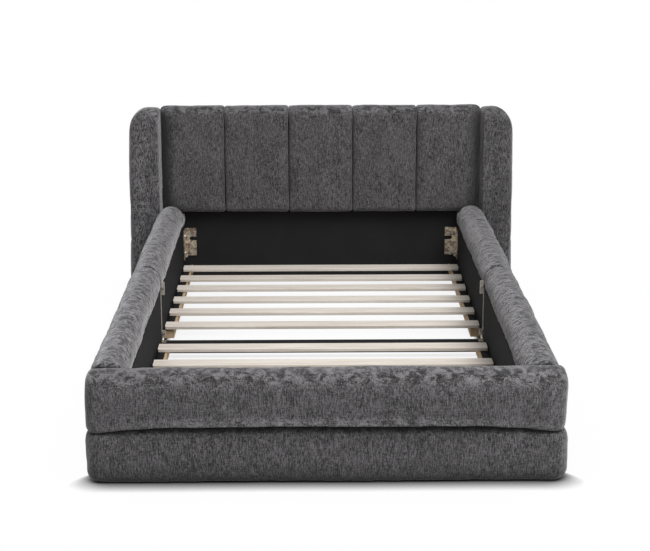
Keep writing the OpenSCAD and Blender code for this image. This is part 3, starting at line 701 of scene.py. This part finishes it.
wing_waves = [(0.0035, (8, 8, 5)), (0.0009, (30, 30, 14))]
right_wing = padding("wing_right", "wing_pad_right", wing_voxel, on_wing_core)
left_wing = twin("wing_left", right_wing, flip=(-1, 1, 1))
wing_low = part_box("wing_pad_right")[0]
for seed, side, piece in ((3.1, "left", left_wing), (11.7, "right", right_wing)):
    dress(f"wing_core_{side}", upright_ply, sawn_edge)
    rumpled(piece, seed, wing_waves, on_wing_core)
    points = points_of(piece)
    outward = -1 if side == "left" else 1
    crisped(points, ((0, outward*wing_low.x, outward), (1, wing_low.y, 1)), wing_edge_reach)
    from_edge = np.abs(points[:, 0]) - channels_right
    ahead_of_core = np.clip((core_low.y - points[:, 1])/lip_depth, 0, 1)
    lip = ahead_of_core*np.clip(1 - from_edge/lip_width, 0, 1)
    points[:, 0] += outward*wing_edge_out*lip
    points[:, 1] -= lip_forward*lip
    set_points(piece, points)
    if side == "left":
        fuller(piece, -left_wing_side, left_wing_out)
    upholster(piece, f"wing_pad_{side}", wing_cloths[side])

# Each side rail comes in two halves, a plywood and batten frame with black lining stretched
# over its inner face, a padded roll over its top and a lower padded tier on its outer face.
rail_voxel = 0.008
# The right rail's rolls get a darker copy of the cloth: painted shade on the side that turns from
# the lamp.
rail_cloth = pile("chenille_rail_left", NAP_ALONG, 0.6)
right_rail_cloth = pile("chenille_rail_right", NAP_ALONG, 1.0, 0.76)
skirt_cloth = pile("chenille_rail_skirt", NAP_DOWN, 0.3)
RAILS = ("head_left", "head_right", "foot_left", "foot_right")
frame_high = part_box("rail_frame_head_right")[1]
inner_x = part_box("rail_lining_head_right")[0].x
head_low, head_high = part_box("rail_roll_head_right")
tail_low, tail_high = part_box("rail_roll_foot_right")
rail_ends = ((head_low.y + tail_high.y)/2, head_high.y, tail_low.y)
lining_top = frame_high.z
side_start = 0.005
left_out = 0.0045


def on_rail(points):
    """Where a rail's pads lie on its frame, or butt at the joint, the headboard or the foot."""
    on_frame = (np.abs(points[:, 0]) < frame_high.x + touch) & (points[:, 2] < lining_top + touch)
    from_end = np.min([np.abs(points[:, 1] - end) for end in rail_ends], axis=0)
    return on_frame | (from_end < end_touch)


roll_waves = [(0.0040, (7, 5, 7)), (0.0022, (26, 34, 26)), (0.0008, (60, 90, 60))]
skirt_waves = [(0.0035, (7, 4, 7)), (0.0010, (30, 22, 30))]
seed, seed_step = 2.0, 3.7
for half in ("head", "foot"):
    roll = padding(f"roll_{half}_right", f"rail_roll_{half}_right", rail_voxel, on_rail)
    skirt = padding(f"skirt_{half}_right", f"rail_skirt_{half}_right", rail_voxel, on_rail)
    pairs = [
        (roll, roll_waves, right_rail_cloth, f"rail_roll_{half}_right"),
        (skirt, skirt_waves, skirt_cloth, f"rail_skirt_{half}_right"),
        (twin(f"roll_{half}_left", roll, flip=(-1, 1, 1)), roll_waves, rail_cloth,
         f"rail_roll_{half}_left"),
        (twin(f"skirt_{half}_left", skirt, flip=(-1, 1, 1)), skirt_waves, skirt_cloth,
         f"rail_skirt_{half}_left")]
    for piece, waves, cloth, node in pairs:
        rumpled(piece, seed, waves, on_rail)
        if "left" in node:
            fuller(piece, -frame_high.x - side_start, left_out)
        upholster(piece, node, cloth)
        seed += seed_step
for rail in RAILS:
    dress(f"rail_frame_{rail}", plywood, sawn_edge)
    inward = Vector((1 if "left" in rail else -1, 0, 0))
    laid_cloth(
        f"lining_{rail}", f"rail_lining_{rail}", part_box(f"rail_lining_{rail}"), inward,
        tuck=lining_tuck)

# The footboard is one frame like the rails', with a wide padded roll over its top and a lower
# tier that tucks up under it, so that the pleat between them dips towards both corners.
foot_voxel = 0.006
# Both footboard tiers are darkened by painted shade, the lower tier more.
foot_cloth = pile("chenille_footboard", NAP_DOWN, 0.05, 0.91)
low_cloth = pile("chenille_footboard_low", NAP_DOWN, 0.11, 0.81)
foot_low, foot_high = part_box("footboard_frame")


def on_footboard(points):
    """Where the footboard's pads lie on its frame."""
    inside = (np.abs(points[:, 0]) < foot_high.x + touch) & (points[:, 1] > foot_low.y - touch)
    return inside & (points[:, 2] < lining_top + touch)


pleat_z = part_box("footboard_skirt")[1].z
pleat_sag = 0.018
pleat_half = 0.547
pleat_power = 5
pleat_reach = 0.014
front_start, front_fade = 0.01, 0.03
lip_out, lip_height, lip_power = 0.014, 0.022, 1.4
under_depth, under_height, under_ends = 0.010, 0.024, 0.4
corner_start, corner_fade = 0.006, 0.03
pinch_depth, pinch_height, pinch_power = 0.0065, 0.03, 1.5
hem_depth, hem_height = 0.008, 0.02
low_left_out = 0.006
right_out = 0.002
foot_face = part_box("footboard_roll")[0].y


def faded(distance, reach):
    """1 at a line, down to 0 at the reach from it."""
    return np.clip(1 - np.abs(distance)/reach, 0, 1)


def pleated(piece, upper_tier):
    """Flares the upper tier's edge out as a lip over the lower tier, which tucks in under it.
    The lip dies away towards both corners, where the lower tier is pinched in at its top."""
    points = points_of(piece)
    x, y, z = points.T
    along = np.clip(np.abs(x)/pleat_half, 0, 1)
    pleat = pleat_z - pleat_sag*along**pleat_power
    middle = 1 - along**4
    front = np.clip((foot_low.y - front_start - y)/front_fade, 0, 1)
    if upper_tier:
        crisped(points, ((1, foot_face, 1), (2, pleat, 1)), pleat_reach)
        points[:, 1] -= lip_out*middle*front*faded(z - pleat, lip_height)**lip_power
    else:
        share = under_ends + (1 - under_ends)*middle
        points[:, 1] += under_depth*share*front*faded(z - pleat, under_height)**2
        ends = np.clip((np.abs(x) - foot_high.x - corner_start)/corner_fade, 0, 1)
        pinch = pinch_depth*faded(z - pleat, pinch_height)**pinch_power
        points[:, 0] -= np.sign(x)*ends*(pinch + hem_depth*faded(z, hem_height))
    set_points(piece, points)


foot_waves = [(0.0035, (4, 7, 6)), (0.0014, (26, 26, 16)), (0.0006, (70, 60, 40))]
upper = padding("footboard_upper", "footboard_roll", foot_voxel, on_footboard)
lower = padding("footboard_lower", "footboard_skirt", foot_voxel, on_footboard)
for seed, piece, node, cloth, out in (
        (5.0, upper, "footboard_roll", foot_cloth, left_out),
        (9.0, lower, "footboard_skirt", low_cloth, low_left_out)):
    rumpled(piece, seed, foot_waves, on_footboard)
    pleated(piece, piece is upper)
    fuller(piece, -foot_high.x - side_start, out)
    fuller(piece, foot_high.x + side_start, right_out)
    upholster(piece, node, cloth)
dress("footboard_frame", plywood, sawn_edge)
laid_cloth(
    "footboard_inner_lining", "footboard_lining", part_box("footboard_lining"), BACK,
    tuck=lining_tuck)

# A pine ledger is screwed along the inner face of each rail half. A strip of black
# hook-and-loop tape on its top keeps the slats from creeping.
ledger_pine = finish_of("pine_ledger", timber, {
    "Stretch": GRAIN_Y, "Pale": pine_pale, "Dark": pine_dark, "Layers": 0.0},
    depth=grain_depth, strength=0.4)
UP = Vector((0, 0, 1))
tape_margin = 0.005
tape_low, tape_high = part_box("ledger_tapes")
tape_width = inner_x - (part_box("ledger_head_right")[0].x + tape_margin)
for rail in RAILS:
    dress(f"ledger_{rail}", ledger_pine, soften=0.001)
    low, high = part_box(f"ledger_{rail}")
    left = "left" in rail
    strip = (
        Vector((-inner_x if left else inner_x - tape_width, low.y, tape_low.z)),
        Vector((-inner_x + tape_width if left else inner_x, high.y, tape_high.z)))
    laid_cloth(
        f"tape_{rail}", "ledger_tapes" if rail == RAILS[0] else None, strip, UP)

# Twelve planed softwood slats lie across the ledgers, six to each half of the bed. They are
# pale and unfinished, with eased edges.
slat_wood = finish_of("slat_wood", timber, {
    "Stretch": GRAIN_X, "Pale": (0.93, 0.87, 0.79, 1.0), "Dark": (0.66, 0.58, 0.50, 1.0),
    "Layers": 0.7},
    depth=0.0005, strength=0.35)
for half in ("head", "foot"):
    for number in range(1, 7):
        dress(f"slat_{half}_{number}", slat_wood)

# A bar wrapped in the same black lining ties the two rails together under the joint. It
# hangs from a small steel angle at each end.
zinc = finish_of("zinc_passivated", steel_flecks, {
    "Bright": (0.92, 0.83, 0.65, 1.0), "Stained": (0.20, 0.13, 0.11, 1.0), "Grains": 260.0},
    depth=0.0003, strength=0.4, Metallic=0.85)
pressed_edge = 0.0004
dress("crossbar", lining_black, soften=0.0025)
dress("crossbar_angles", zinc, pressed_edge)

# Folded steel brackets join the rails to the headboard and the footboard, and plates with
# ears join the two halves of each rail. They are zinc plated with a yellow and pink bloom.
for node in ("corner_brackets_head", "corner_brackets_foot"):
    dress(node, zinc, pressed_edge)
pale_zinc = finish_of("zinc_pale", steel_flecks, {
    "Bright": (0.75, 0.72, 0.66, 1.0), "Stained": (0.55, 0.50, 0.45, 1.0), "Grains": 260.0},
    depth=0.0003, strength=0.4, Metallic=0.7)
dress("joint_plates", pale_zinc, pressed_edge)
dress("joint_bolts", bright_steel)
dress("wood_screws", bright_steel)

# Low black moulded glides keep the wooden frames just off the floor. The padding hangs down
# beside them, almost to the floor.
moulded, given, result = group_of("moulded_plastic", [
    ("Base", COLOUR, white), ("Scuffed", COLOUR, white)])
place = own_place(moulded)
pits = speckle(moulded, place, (1500, 1500, 1500), 2.0)
scuffs = speckle(moulded, place, (60, 60, 60), 4.0, 0.7)
scuffed = spread(moulded, scuffs, 0.5, 0.8)
moulded.links.new(blended(moulded, scuffed, given["Base"], given["Scuffed"]), result["Colour"])
moulded.links.new(spread(moulded, scuffs, 0.3, 0.7, 0.4, 0.6), result["Roughness"])
moulded.links.new(pits, result["Height"])
glide_black = finish_of("glide_plastic", moulded, {
    "Base": (0.015, 0.015, 0.015, 1.0), "Scuffed": (0.06, 0.06, 0.06, 1.0)},
    depth=0.0001, strength=0.3)
dress("floor_glides", glide_black, soften=0.0008)

bpy.context.view_layer.update()
